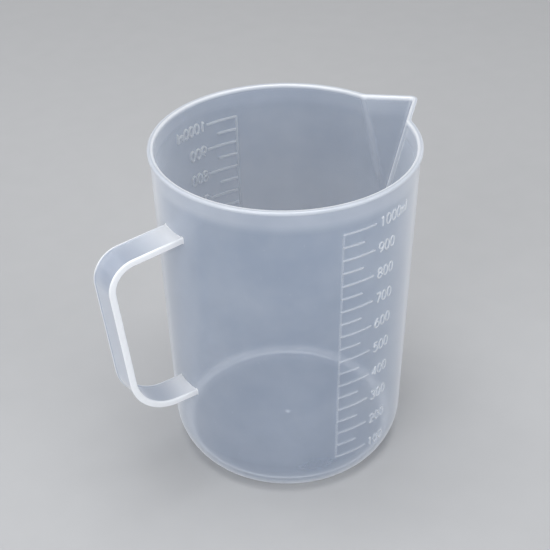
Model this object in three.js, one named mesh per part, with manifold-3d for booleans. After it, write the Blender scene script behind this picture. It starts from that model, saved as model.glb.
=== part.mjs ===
// A one-litre kitchen measuring jug, moulded in one shot of translucent polypropylene.
// Millimetres, +Z up. The origin is on the cup's axis, in the plane that the jug stands on.
// The spout points along +X and the handle along -X. Each moulded region is a solid of its own.
import * as THREE from 'three';
import { mergeVertices } from 'three/addons/utils/BufferGeometryUtils.js';
import Module from 'manifold-3d';

const wasm = await Module();
wasm.setup();

// Cup
const CUP_HEIGHT = 142.9;     // standing plane to the top of the rim
const MOUTH_RADIUS = 54;      // outside of the wall, at the height of the rim
const BASE_RADIUS = 49.95;    // outside of the wall, carried down to the standing plane
const WALL = 1.6;             // thickness of the wall, the spout and the rim's root
const FLOOR = 2.2;            // thickness of the floor
const BASE_CURVE = 24.4;      // outside radius of the curve from the wall down to the foot
const CURVE_HEIGHT = 16;      // height of that curve's middle; the standing plane cuts the curve short
const FOOT_WIDTH = 4;         // flat width of the ring that the cup stands on
const FOOT_RECESS = 0.8;      // lift of the underside inside that ring
const FLOOR_STEP = 0.6;       // rise of the inside curve that belongs to the floor

// Rim
const RIM_HEIGHT = 1.5;
const RIM_PROUD = 0.85;       // how far the bead stands out of the wall
const RIM_ROUND = 0.7;        // rounding of the bead's upper edges

// Pouring spout
const SPOUT_REACH = 13.7;     // from the mouth's circle to the tip
const SPOUT_WIDTH = 31;       // width where the two sides leave the mouth's circle
const SPOUT_DEPTH = 45;       // from the rim down to the point where the keel leaves the wall
const SPOUT_NOSE = 1.2;       // inside radius of the channel along the keel

// Handle: a strap bent round the fingers, with a lip along both edges
const HANDLE_WIDTH = 13.3;
const HANDLE_THICKNESS = 2.9;
const HANDLE_TOP = 119.5;     // middle of the strap where the upper arm meets the wall
const HANDLE_BOTTOM = 43.6;   // middle of the strap in the lower arm
const HANDLE_REACH = 85.8;    // middle of the strap at its upper corner, before rounding
const UPPER_ARM_FALL = 4.65;  // degrees that the upper arm falls away from the wall
const GRIP_LEAN = 6.25;       // degrees that the grip leans in towards its lower end
const UPPER_BEND = 10.7;      // radius of the upper corner, in the middle of the strap
const LOWER_BEND = 19.8;      // radius of the lower corner, in the middle of the strap
const LIP_WIDTH = 0.8;
const LIP_RISE = 0.4;         // how far a lip stands above the web, on both faces
const STRAP_EDGE = 0.4;       // bevel along the strap's edges

// Raised scales, in millilitres and in degrees around the axis from the spout
const SCALE_FIRST = 100;
const SCALE_LAST = 1000;
const SCALE_STEP = 50;
const LONG_EVERY = 100;
const FRONT_LADDER = -101.7;  // the upright line of the front scale
const LADDER_SPACING = 180;   // from one scale to the other
const LONG_MARK = 15;         // lengths along the wall
const SHORT_MARK = 9.5;
const MARK_WIDTH = 0.9;
const MARK_RELIEF = 0.35;     // thickness of a mark

// Fit between solids that meet on a round face, and the fineness of round faces
const SEAT_GAP = 0.15;
const TURN_STEPS = 72;
const BEND_STEPS = 8;
const CORNER_STEPS = 5;
const WELD = 1e-4;
const ROUNDING_SHARE = 0.45;  // the most of a thickness that one rounding may take
const HALVINGS = 60;          // steps in the search for a fill level
const CUBIC_MM_PER_ML = 1000;

const toRadians = THREE.MathUtils.degToRad;
const taper = (MOUTH_RADIUS - BASE_RADIUS) / CUP_HEIGHT;
const slant = Math.hypot(1, taper);
const outerRadius = (z) => BASE_RADIUS + taper * z;
const innerRadius = (z) => outerRadius(z) - WALL;
const floorTop = FOOT_RECESS + FLOOR;
const rimBottom = CUP_HEIGHT - RIM_HEIGHT;

// Joins and cuts

/** A closed surface as a solid that can be joined and cut. */
function solidOf(geometry) {
  geometry.deleteAttribute('normal');
  geometry.deleteAttribute('uv');
  const welded = mergeVertices(geometry, WELD);
  const corners = welded.index.array;
  const triangles = [];
  for (let i = 0; i < corners.length; i += 3) {
    const [a, b, c] = corners.subarray(i, i + 3);
    if (a !== b && b !== c && c !== a) triangles.push(a, b, c);
  }
  return new wasm.Manifold(new wasm.Mesh({
    numProp: 3,
    vertProperties: welded.attributes.position.array,
    triVerts: new Uint32Array(triangles),
  }));
}

/** A solid as a geometry. */
function geometryOf(solid) {
  const { vertProperties, triVerts } = solid.getMesh();
  const geometry = new THREE.BufferGeometry();
  geometry.setAttribute('position', new THREE.BufferAttribute(vertProperties, 3));
  geometry.setIndex(new THREE.BufferAttribute(triVerts, 1));
  geometry.computeVertexNormals();
  return geometry;
}

/** Rings of points, each joined to the next. Both ends are capped with a flat section, or join each other. */
function loft(rings, section) {
  const around = rings[0].length;
  const spans = section ? rings.length - 1 : rings.length;
  const index = [];
  for (let j = 0; j < spans; j++) {
    const low = j * around;
    const high = ((j + 1) % rings.length) * around;
    for (let i = 0; i < around; i++) {
      const next = (i + 1) % around;
      index.push(low + i, low + next, high + next, low + i, high + next, high + i);
    }
  }
  if (section) {
    const last = spans * around;
    for (const [a, b, c] of THREE.ShapeUtils.triangulateShape(section, [])) {
      index.push(a, c, b, last + a, last + b, last + c);
    }
  }
  const positions = rings.flat().flatMap((point) => point.toArray());
  const geometry = new THREE.BufferGeometry();
  geometry.setAttribute('position', new THREE.Float32BufferAttribute(positions, 3));
  geometry.setIndex(index);
  return geometry;
}

/** A profile of (radius, height) points turned round the cup's axis. */
function turned(profile) {
  return new THREE.LatheGeometry(profile, TURN_STEPS).rotateX(Math.PI / 2);
}

/** Points of an arc in the profile plane, from one angle to another in radians. */
function arc(x, y, radius, from, to, steps = CORNER_STEPS) {
  const curve = new THREE.ArcCurve(x, y, radius, from, to, to < from);
  return curve.getPoints(steps);
}

/** Everything inside the wall's outer face, wider by the seat gap: what sits on the wall is cut by it. */
function wallEnvelope() {
  const past = BASE_CURVE;
  const height = CUP_HEIGHT + 2 * past;
  const frustum = new THREE.CylinderGeometry(
    outerRadius(CUP_HEIGHT + past) + SEAT_GAP, outerRadius(-past) + SEAT_GAP, height, TURN_STEPS);
  frustum.rotateX(Math.PI / 2).translate(0, 0, CUP_HEIGHT / 2);
  return solidOf(frustum);
}

// Base and wall: one turned section, parted at a level just above the floor

const partingLevel = floorTop + FLOOR_STEP;
const innerCurve = BASE_CURVE - WALL;
const curveRadius = outerRadius(CURVE_HEIGHT) - BASE_CURVE * slant;
const wallAngle = -Math.atan(taper);

/** Angle on a base curve at a height: level with the curve's middle it is zero, and it falls below that. */
function curveAngle(radius, z) {
  return Math.asin((z - CURVE_HEIGHT) / radius);
}

/** Points of a base curve between two angles, on its outside or its inside. */
function baseCurve(radius, from, to) {
  return arc(curveRadius, CURVE_HEIGHT, radius, from, to);
}

const outerParting = curveAngle(BASE_CURVE, partingLevel);
const innerParting = curveAngle(innerCurve, partingLevel);

function makeBase() {
  const outside = baseCurve(BASE_CURVE, curveAngle(BASE_CURVE, 0), outerParting);
  const inside = baseCurve(innerCurve, innerParting, curveAngle(innerCurve, floorTop));
  const footInside = outside[0].x - FOOT_WIDTH;
  return turned([
    new THREE.Vector2(0, FOOT_RECESS),
    new THREE.Vector2(footInside - FOOT_RECESS, FOOT_RECESS),
    new THREE.Vector2(footInside, 0),
    ...outside,
    ...inside,
    new THREE.Vector2(0, floorTop),
  ]);
}

function makeWall() {
  const profile = [
    ...baseCurve(BASE_CURVE, outerParting, wallAngle),
    new THREE.Vector2(outerRadius(rimBottom), rimBottom),
    new THREE.Vector2(innerRadius(rimBottom), rimBottom),
    ...baseCurve(innerCurve, wallAngle, innerParting),
  ];
  profile.push(profile[0]);
  return geometryOf(solidOf(turned(profile)).subtract(spoutChannel()));
}

// Pouring spout: a V with flat sides and a rounded keel, leaning out of the wall

const keelFoot = CUP_HEIGHT - SPOUT_DEPTH;
const tipRadius = MOUTH_RADIUS + SPOUT_REACH;
const spoutEdge = Math.sqrt(MOUTH_RADIUS ** 2 - (SPOUT_WIDTH / 2) ** 2);
const outerNose = SPOUT_NOSE + WALL;
const keelLean = (tipRadius - outerRadius(keelFoot)) / SPOUT_DEPTH;
const keelRadius = (z) => tipRadius + keelLean * (z - CUP_HEIGHT);

/** Half the V's angle: its sides leave a round nose and meet the mouth's circle at the spout's width. */
function solveHalfAngle() {
  const back = tipRadius - outerNose - spoutEdge;
  const half = SPOUT_WIDTH / 2;
  return Math.atan2(half, back) - Math.asin(outerNose / Math.hypot(half, back));
}

const halfAngle = solveHalfAngle();
const sideNormal = Math.PI / 2 - halfAngle;

/** Outline of the V at the rim's height, its sides moved out by an offset and run back into the cup. */
function spoutShape(offset) {
  const noseCentre = tipRadius - outerNose;
  const nose = arc(noseCentre, 0, outerNose + offset, -sideNormal, sideNormal);
  const length = SPOUT_WIDTH;
  const end = nose[nose.length - 1];
  const tail = new THREE.Vector2(end.x - length * Math.cos(halfAngle), end.y + length * Math.sin(halfAngle));
  return new THREE.Shape([...nose, tail, new THREE.Vector2(tail.x, -tail.y)]);
}

/** The V carried down from a height and leaned, as a solid. */
function leaningV(offset, top) {
  const depth = top - keelFoot + SPOUT_DEPTH / 2;
  const prism = new THREE.ExtrudeGeometry(spoutShape(offset), { depth, bevelEnabled: false });
  prism.translate(0, 0, top - depth);
  const lean = new THREE.Matrix4().makeShear(0, 0, 0, 0, keelLean, 0);
  prism.translate(0, 0, -CUP_HEIGHT).applyMatrix4(lean).translate(0, 0, CUP_HEIGHT);
  return solidOf(prism);
}

function spoutChannel() {
  return leaningV(-WALL, CUP_HEIGHT + RIM_HEIGHT);
}

function makeSpout() {
  return geometryOf(leaningV(0, rimBottom).subtract(spoutChannel()).subtract(wallEnvelope()));
}

// Rim: a bead that runs round the mouth and out to the tip of the spout

/** Outline of the mouth at a height, moved out by an offset, anticlockwise from the spout's tip. */
function mouthOutline(z, offset) {
  const radius = outerRadius(z) + offset;
  const noseCentre = keelRadius(z) - outerNose;
  const nose = arc(noseCentre, 0, outerNose + offset, -sideNormal, sideNormal);
  const sideDistance = noseCentre * Math.sin(halfAngle) + outerNose + offset;
  const meeting = sideNormal - Math.acos(sideDistance / radius);
  const circle = arc(0, 0, radius, meeting, 2 * Math.PI - meeting, TURN_STEPS);
  return [...nose, ...circle].map((point) => new THREE.Vector3(point.x, point.y, z));
}

function makeRim() {
  const top = CUP_HEIGHT;
  const round = Math.min(RIM_ROUND, ROUNDING_SHARE * (WALL + RIM_PROUD));
  const corner = round * (1 - Math.SQRT1_2);
  const section = [
    [-WALL, rimBottom],
    [RIM_PROUD, rimBottom],
    [RIM_PROUD, top - round],
    [RIM_PROUD - corner, top - corner],
    [RIM_PROUD - round, top],
    [-WALL + round, top],
    [-WALL + corner, top - corner],
    [-WALL, top - round],
  ];
  return loft(section.map(([offset, z]) => mouthOutline(z, offset)));
}

// Handle: the strap's section carried round a path with two bends

/** Stations along a path of straight runs and round corners: a point and the heading at it. */
function bentPath(points, bends) {
  const stations = [];
  const heading = (a, b) => Math.atan2(b.y - a.y, b.x - a.x);
  points.forEach((point, i) => {
    if (i === 0) stations.push({ point, heading: heading(point, points[1]) });
    else if (i === points.length - 1) stations.push({ point, heading: heading(points[i - 1], point) });
    else {
      const arriving = heading(points[i - 1], point);
      const leaving = heading(point, points[i + 1]);
      const turn = Math.atan2(Math.sin(leaving - arriving), Math.cos(leaving - arriving));
      const run = bends[i - 1] * Math.tan(Math.abs(turn) / 2);
      const side = arriving + Math.sign(turn) * Math.PI / 2;
      const centre = new THREE.Vector2(
        point.x - run * Math.cos(arriving) + bends[i - 1] * Math.cos(side),
        point.y - run * Math.sin(arriving) + bends[i - 1] * Math.sin(side));
      for (let k = 0; k <= BEND_STEPS; k++) {
        const angle = side + Math.PI + turn * k / BEND_STEPS;
        const place = new THREE.Vector2(Math.cos(angle), Math.sin(angle)).multiplyScalar(bends[i - 1]);
        stations.push({ point: place.add(centre), heading: arriving + turn * k / BEND_STEPS });
      }
    }
  });
  return stations;
}

/** The strap's section, seen along the strap: across its width, and out from the middle of its thickness. */
function strapSection() {
  const side = HANDLE_WIDTH / 2;
  const face = HANDLE_THICKNESS / 2;
  const lip = side - LIP_WIDTH;
  const quarter = [
    [side, face - STRAP_EDGE],
    [side - STRAP_EDGE, face],
    [lip, face],
    [lip - LIP_RISE, face - LIP_RISE],
  ];
  const outerFace = [...quarter, ...quarter.map(([across, out]) => [-across, out]).reverse()];
  const innerFace = outerFace.map(([across, out]) => [-across, -out]);
  return [...outerFace, ...innerFace].map(([across, out]) => new THREE.Vector2(across, out));
}

function makeHandle() {
  const root = BASE_RADIUS - HANDLE_WIDTH;
  const fall = Math.tan(toRadians(UPPER_ARM_FALL));
  const lean = Math.tan(toRadians(GRIP_LEAN));
  const upperHeight = HANDLE_TOP - fall * (HANDLE_REACH - outerRadius(HANDLE_TOP));
  const lowerReach = HANDLE_REACH - lean * (upperHeight - HANDLE_BOTTOM);
  const path = bentPath([
    new THREE.Vector2(root, HANDLE_TOP + fall * (outerRadius(HANDLE_TOP) - root)),
    new THREE.Vector2(HANDLE_REACH, upperHeight),
    new THREE.Vector2(lowerReach, HANDLE_BOTTOM),
    new THREE.Vector2(root, HANDLE_BOTTOM),
  ], [UPPER_BEND, LOWER_BEND]);
  const section = strapSection();
  const rings = path.map(({ point, heading }) => section.map(({ x: across, y: out }) => {
    const reach = point.x - out * Math.sin(heading);
    return new THREE.Vector3(-reach, -across, point.y + out * Math.cos(heading));
  }));
  return geometryOf(solidOf(loft(rings, section)).subtract(wallEnvelope()));
}

// Scales: an upright line with a mark at each fill level

/** Area that the inside curve takes away from a square corner between the floor and the wall. */
function curveArea() {
  const drop = CURVE_HEIGHT - floorTop;
  const run = Math.sqrt(innerCurve ** 2 - drop ** 2);
  return innerCurve * drop - (drop * run + innerCurve ** 2 * Math.asin(drop / innerCurve)) / 2;
}

/** Height at which the cup holds a volume in millilitres, less what its base curve takes up. */
function fillHeight(millilitres) {
  const bottom = innerRadius(floorTop);
  const wanted = millilitres * CUBIC_MM_PER_ML + curveArea() * 2 * Math.PI * bottom;
  let [low, high] = [floorTop, 4 * CUP_HEIGHT];
  for (let i = 0; i < HALVINGS; i++) {
    const middle = (low + high) / 2;
    const top = innerRadius(middle);
    const held = Math.PI / 3 * (middle - floorTop) * (bottom ** 2 + bottom * top + top ** 2);
    if (held < wanted) low = middle;
    else high = middle;
  }
  return high;
}

/** A bar on the wall's outer face, between two heights and two angles. */
function raisedBar(bottom, top, from, to) {
  const steps = Math.max(1, Math.round((to - from) / (2 * Math.PI / TURN_STEPS)));
  const section = [
    new THREE.Vector2(bottom, SEAT_GAP),
    new THREE.Vector2(top, SEAT_GAP),
    new THREE.Vector2(top, SEAT_GAP + MARK_RELIEF),
    new THREE.Vector2(bottom, SEAT_GAP + MARK_RELIEF),
  ];
  const rings = [];
  for (let k = 0; k <= steps; k++) {
    const angle = from + (to - from) * k / steps;
    rings.push(section.map(({ x: z, y: out }) => {
      const radius = outerRadius(z) + out;
      return new THREE.Vector3(radius * Math.cos(angle), radius * Math.sin(angle), z);
    }));
  }
  return solidOf(loft(rings, section));
}

function makeScale(ladderDegrees) {
  const ladder = toRadians(ladderDegrees);
  const half = MARK_WIDTH / 2;
  const angleOf = (length, z) => length / outerRadius(z);
  const levels = [];
  for (let level = SCALE_FIRST; level <= SCALE_LAST; level += SCALE_STEP) {
    if (fillHeight(level) + MARK_WIDTH < rimBottom) levels.push(level);
  }
  const lowest = fillHeight(levels[0]) - half;
  const highest = fillHeight(levels[levels.length - 1]) + half;
  let scale = raisedBar(lowest, highest, ladder - angleOf(half, lowest), ladder + angleOf(half, lowest));
  for (const level of levels) {
    const z = fillHeight(level);
    const length = level % LONG_EVERY === 0 ? LONG_MARK : SHORT_MARK;
    scale = scale.add(raisedBar(z - half, z + half, ladder, ladder + angleOf(length, z)));
  }
  return geometryOf(scale);
}

// Assembly

// The thin wall lets light through; the same plastic looks milkier where it is thick or stands proud.
const CLEAR = { color: 0xccd4e0, roughness: 0.3, metalness: 0, transparent: true, opacity: 0.45 };
const MILKY = { color: 0xe0e6f0, roughness: 0.35, metalness: 0, transparent: true, opacity: 0.75 };
const MARKS = { color: 0xe6ebf2, roughness: 0.45, metalness: 0, transparent: true, opacity: 0.8 };

const jug = new THREE.Group();

function place(name, geometry, finish) {
  const piece = new THREE.Mesh(geometry, new THREE.MeshStandardMaterial(finish));
  piece.name = name;
  jug.add(piece);
}

place('base', makeBase(), CLEAR);
place('cup_wall', makeWall(), CLEAR);
place('pouring_spout', makeSpout(), CLEAR);
place('rim_bead', makeRim(), MILKY);
place('handle', makeHandle(), MILKY);
place('front_scale', makeScale(FRONT_LADDER), MARKS);
place('rear_scale', makeScale(FRONT_LADDER + LADDER_SPACING), MARKS);

export default jug;
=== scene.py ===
# %% [markdown]
# # A one-litre measuring jug in milky plastic
#
# The jug is one shot of translucent polypropylene: a round cup with a little draft, a V-shaped
# spout drawn out of the wall, a bead round the mouth, a strap handle and two raised scales.
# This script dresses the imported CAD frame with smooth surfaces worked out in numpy. Sizes are
# written in millimetres, as on the drawing, and become metres when a mesh is made.

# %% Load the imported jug
import math

import bpy
import numpy as np
from mathutils import Matrix, Vector


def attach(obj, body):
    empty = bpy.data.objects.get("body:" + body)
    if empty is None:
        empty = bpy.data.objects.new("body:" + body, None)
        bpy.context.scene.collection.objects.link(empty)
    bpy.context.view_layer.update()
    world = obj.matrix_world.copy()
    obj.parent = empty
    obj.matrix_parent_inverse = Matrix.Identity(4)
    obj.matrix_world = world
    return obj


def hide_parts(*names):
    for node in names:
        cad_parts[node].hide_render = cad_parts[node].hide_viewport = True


MM = 0.001
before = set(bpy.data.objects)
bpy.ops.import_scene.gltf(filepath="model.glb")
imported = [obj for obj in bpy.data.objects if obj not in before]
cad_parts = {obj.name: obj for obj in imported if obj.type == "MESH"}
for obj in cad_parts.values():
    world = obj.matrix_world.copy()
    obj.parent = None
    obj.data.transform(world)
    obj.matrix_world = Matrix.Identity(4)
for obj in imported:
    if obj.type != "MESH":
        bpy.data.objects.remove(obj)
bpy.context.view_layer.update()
print("solids:", sorted(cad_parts))

# %% [markdown]
# ## Camera
#
# The picture is taken from above the rim, from the side where the handle points left and the
# spout points away to the right. A camera is a place, a heading, a fall below the horizon and a
# little roll. Building its matrix from those four keeps each of them readable, where three Euler
# angles would mix them.

# %% Place the camera
CAMERA_AZIMUTH = -125.19   # degrees round the cup's axis, from the spout
CAMERA_DISTANCE = 430.5    # from the cup's axis
CAMERA_HEIGHT = 370.2
CAMERA_HEADING = 55.455    # degrees from the spout's direction
CAMERA_FALL = 34.07        # degrees below the horizon
CAMERA_ROLL = -0.94        # degrees
CAMERA_LENS = 79.77
SENSOR_WIDTH = 36


def camera_matrix(place, heading, fall, roll):
    """Columns are right, up and back: heading and fall give forward, and roll turns the others."""
    forward = Vector((
        math.cos(heading) * math.cos(fall), math.sin(heading) * math.cos(fall), -math.sin(fall)))
    level = Vector((math.sin(heading), -math.cos(heading), 0))
    upright = level.cross(forward)
    right = math.cos(roll) * level + math.sin(roll) * upright
    up = math.cos(roll) * upright - math.sin(roll) * level
    turn = Matrix((right, up, -forward)).transposed().to_4x4()
    return Matrix.Translation(place) @ turn


camera = bpy.data.objects.new("camera", bpy.data.cameras.new("camera"))
bpy.context.scene.collection.objects.link(camera)
camera.data.lens = CAMERA_LENS
camera.data.sensor_width = SENSOR_WIDTH
camera_place = MM * Vector((
    CAMERA_DISTANCE * math.cos(math.radians(CAMERA_AZIMUTH)),
    CAMERA_DISTANCE * math.sin(math.radians(CAMERA_AZIMUTH)),
    CAMERA_HEIGHT,
))
camera.matrix_world = camera_matrix(
    camera_place, math.radians(CAMERA_HEADING), math.radians(CAMERA_FALL), math.radians(CAMERA_ROLL))
bpy.context.scene.camera = camera
print("camera at", [round(v, 4) for v in camera_place])

# %% [markdown]
# ## Meshes from grids
#
# Every new surface here is a grid of points: rows along a profile, columns round it. A grid can
# be put into a mesh in one go, because the faces follow from the counts alone. Ends are closed
# with a fan to a single point, so that each piece is a watertight solid.

# %% Helpers that turn grids into meshes


def grid_faces(rows, columns):
    """Four corners for each cell of a grid that closes on itself along the columns."""
    row, column = np.meshgrid(np.arange(rows - 1), np.arange(columns), indexing="ij")
    following = (column + 1) % columns
    corners = (row * columns + column, row * columns + following,
               (row + 1) * columns + following, (row + 1) * columns + column)
    return np.stack(corners, axis=-1).reshape(-1, 4)


def fan_faces(ring, middle):
    """Triangles from each step of a closed ring to one point in the middle."""
    return np.stack((np.roll(ring, -1), ring, np.full_like(ring, middle)), axis=-1)


def closed_tube(grid):
    """Points and faces of a tube of rings, each end closed by a fan to the middle of its ring."""
    rows, columns, _ = grid.shape
    ends = np.stack((grid[0].mean(0), grid[-1].mean(0)))
    points = np.concatenate((grid.reshape(-1, 3), ends))
    first = np.arange(columns)
    last = first + (rows - 1) * columns
    middle = rows * columns
    fans = np.concatenate((fan_faces(first, middle), fan_faces(last[::-1], middle + 1)))
    return points, grid_faces(rows, columns), fans


def enclosed_volume(points, triangles):
    """Sum of the signed tetrahedra from the origin to each triangle: positive if faces point out."""
    a, b, c = (points[triangles[:, i]] for i in range(3))
    return float(np.einsum("ij,ij->i", a, np.cross(b, c)).sum() / 6)


def make_piece(name, parts, material, **shares):
    """A smooth mesh object from closed parts, in metres, with named shares stored at each point."""
    points, faces, start = [], [], 0
    for part_points, quads, triangles in parts:
        split = np.concatenate((quads[:, [0, 1, 2]], quads[:, [0, 2, 3]], triangles))
        if enclosed_volume(part_points, split) < 0:
            quads, triangles = quads[:, ::-1], triangles[:, ::-1]
        points.append(part_points)
        faces += (quads + start).tolist() + (triangles + start).tolist()
        start += len(part_points)
    mesh = bpy.data.meshes.new(name)
    mesh.from_pydata(np.concatenate(points) * MM, [], faces)
    mesh.polygons.foreach_set("use_smooth", np.ones(len(faces), bool))
    for share_name, values in shares.items():
        stored = mesh.attributes.new(share_name, "FLOAT", "POINT")
        stored.data.foreach_set("value", np.asarray(values, np.float32))
    mesh.validate()
    mesh.update()
    mesh.materials.append(material)
    piece = bpy.data.objects.new(name, mesh)
    bpy.context.scene.collection.objects.link(piece)
    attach(piece, "root")
    print(name, "points:", len(mesh.vertices), "faces:", len(mesh.polygons))
    return piece


def smooth_step(low, high, value):
    """0 below low, 1 above high, and an S-shaped rise between."""
    share = np.clip((value - low) / (high - low), 0, 1)
    return share * share * (3 - 2 * share)


def arc_points(x, y, radius, start, end, count):
    """Points of an arc from one angle to another, both ends included."""
    angle = np.linspace(start, end, count)
    return np.stack((x + radius * np.cos(angle), y + radius * np.sin(angle)), axis=-1)


# %% [markdown]
# ## Milky plastic
#
# Polypropylene is clear stuff full of tiny crystals. Most light goes straight on, and a part is
# scattered: the thicker the plastic, the whiter it looks, which is why the bead and the handle's
# lips are white while the wall is only a bluish veil. A volume shader would do this, but it is
# slow and no other program reads it. Here each surface is a mix of a see-through shader and a
# milky one. The share of the milky one comes from two values that the mesh stores, milk for its
# thick places and for some painted light and highlights, and veil for its outer skin, and from
# the slant at which it is seen, because a slanted ray crosses more plastic. That is also why a
# white sheen lies along the outlines.

# %% A shared group for the cloudiness of moulded plastic
CLOUD_SCALE = 38
CLOUD_DETAIL = 3
CLOUD_LOW = 0.3            # the noise between these two is spread to a share from 0 to 1
CLOUD_HIGH = 0.7
CLOUD_TINT = 0.12          # how far a cloud moves the colour from thin to thick
SKIN_SCALE = 900
SKIN_DETAIL = 2
SKIN_GLOSS = 0.1           # how much the skin's grain adds to the roughness
SKIN_BUMP = 0.05
SKIN_DEPTH = 0.0002


def cloud_group():
    """Soft clouds from two noises: a colour between two tints, a haze, a roughness and a normal."""
    group = bpy.data.node_groups.new("moulded_cloud", "ShaderNodeTree")
    face = group.interface
    for name, kind in (
        ("Thin Tint", "NodeSocketColor"),
        ("Thick Tint", "NodeSocketColor"),
        ("Milk", "NodeSocketFloat"),
        ("Roughness", "NodeSocketFloat"),
    ):
        face.new_socket(name, in_out="INPUT", socket_type=kind)
    for name, kind in (
        ("Color", "NodeSocketColor"),
        ("Cloud", "NodeSocketFloat"),
        ("Roughness", "NodeSocketFloat"),
        ("Normal", "NodeSocketVector"),
    ):
        face.new_socket(name, in_out="OUTPUT", socket_type=kind)
    nodes, links = group.nodes, group.links
    entry = nodes.new("NodeGroupInput")
    leave = nodes.new("NodeGroupOutput")
    place = nodes.new("ShaderNodeTexCoord")
    flow = nodes.new("ShaderNodeTexNoise")
    flow.inputs["Scale"].default_value = CLOUD_SCALE
    flow.inputs["Detail"].default_value = CLOUD_DETAIL
    links.new(place.outputs["Object"], flow.inputs["Vector"])
    skin = nodes.new("ShaderNodeTexNoise")
    skin.inputs["Scale"].default_value = SKIN_SCALE
    skin.inputs["Detail"].default_value = SKIN_DETAIL
    links.new(place.outputs["Object"], skin.inputs["Vector"])

    cloud = nodes.new("ShaderNodeMapRange")
    cloud.inputs["From Min"].default_value = CLOUD_LOW
    cloud.inputs["From Max"].default_value = CLOUD_HIGH
    links.new(flow.outputs["Fac"], cloud.inputs["Value"])
    links.new(cloud.outputs["Result"], leave.inputs["Cloud"])

    share = nodes.new("ShaderNodeMath")
    share.operation = "MULTIPLY_ADD"
    share.inputs[1].default_value = CLOUD_TINT
    links.new(cloud.outputs["Result"], share.inputs[0])
    links.new(entry.outputs["Milk"], share.inputs[2])
    tint = nodes.new("ShaderNodeMix")
    tint.data_type = "RGBA"
    links.new(share.outputs[0], tint.inputs["Factor"])
    links.new(entry.outputs["Thin Tint"], tint.inputs[6])
    links.new(entry.outputs["Thick Tint"], tint.inputs[7])
    links.new(tint.outputs[2], leave.inputs["Color"])

    gloss = nodes.new("ShaderNodeMath")
    gloss.operation = "MULTIPLY_ADD"
    gloss.inputs[1].default_value = SKIN_GLOSS
    links.new(skin.outputs["Fac"], gloss.inputs[0])
    links.new(entry.outputs["Roughness"], gloss.inputs[2])
    links.new(gloss.outputs[0], leave.inputs["Roughness"])

    bump = nodes.new("ShaderNodeBump")
    bump.inputs["Strength"].default_value = SKIN_BUMP
    bump.inputs["Distance"].default_value = SKIN_DEPTH
    links.new(skin.outputs["Fac"], bump.inputs["Height"])
    links.new(bump.outputs["Normal"], leave.inputs["Normal"])
    return group


moulded_cloud = cloud_group()
sockets = moulded_cloud.interface.items_tree
print("group outputs:", [socket.name for socket in sockets if socket.in_out == "OUTPUT"])

# %% Materials mixed from see-through and milk
EDGE_WHITE = 0.85          # share of a white sheen at a slant
LINE_WHITE = 1.0           # and along the outline
EDGE_POWER = 2             # the higher the power, the nearer to the outline
LINE_POWER = 7
EVEN_BLEND = 0.5           # at which Facing isn't bent towards either end
CLOUD_HAZE = 0.02
PLASTIC_IOR = 1.5
PLASTIC_SHINE = 1.0
COAT = 0.6
COAT_ROUGHNESS = 0.2


def attribute_share(nodes, name):
    """The value that the mesh stores under a name."""
    stored = nodes.new("ShaderNodeAttribute")
    stored.attribute_name = name
    return stored.outputs["Fac"]


def weighted_sum(nodes, links, start, terms):
    """A start value plus each source times its weight, held between 0 and 1."""
    total = None
    for source, weight in terms:
        add = nodes.new("ShaderNodeMath")
        add.operation = "MULTIPLY_ADD"
        add.inputs[1].default_value = weight
        add.inputs[2].default_value = start
        links.new(source, add.inputs[0])
        if total is not None:
            links.new(total, add.inputs[2])
        total = add.outputs[0]
    add.use_clamp = True
    return total


def slant_power(nodes, links, power):
    """How far a surface turns away from the eye, raised to a power."""
    slant = nodes.new("ShaderNodeLayerWeight")
    slant.inputs["Blend"].default_value = EVEN_BLEND
    raised = nodes.new("ShaderNodeMath")
    raised.operation = "POWER"
    raised.inputs[1].default_value = power
    links.new(slant.outputs["Facing"], raised.inputs[0])
    return raised.outputs[0]


def outline_share(nodes, links, veil):
    """A share that is 1 along the outline of the outer skin and falls quickly away from it."""
    outline = nodes.new("ShaderNodeMath")
    outline.operation = "MULTIPLY"
    links.new(slant_power(nodes, links, LINE_POWER), outline.inputs[0])
    links.new(veil, outline.inputs[1])
    return outline.outputs[0]


def glossy_plastic(nodes, roughness):
    """The shader of a moulded surface, with a clear glossy skin."""
    body = nodes.new("ShaderNodeBsdfPrincipled")
    body.inputs["Roughness"].default_value = roughness
    body.inputs["IOR"].default_value = PLASTIC_IOR
    body.inputs["Specular IOR Level"].default_value = PLASTIC_SHINE
    body.inputs["Coat Weight"].default_value = COAT
    body.inputs["Coat Roughness"].default_value = COAT_ROUGHNESS
    return body


def mixed(nodes, links, share, first, second):
    """Two shaders mixed by a number or by a socket."""
    mix = nodes.new("ShaderNodeMixShader")
    if isinstance(share, (int, float)):
        mix.inputs[0].default_value = share
    else:
        links.new(share, mix.inputs[0])
    links.new(first, mix.inputs[1])
    links.new(second, mix.inputs[2])
    return mix.outputs[0]


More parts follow.
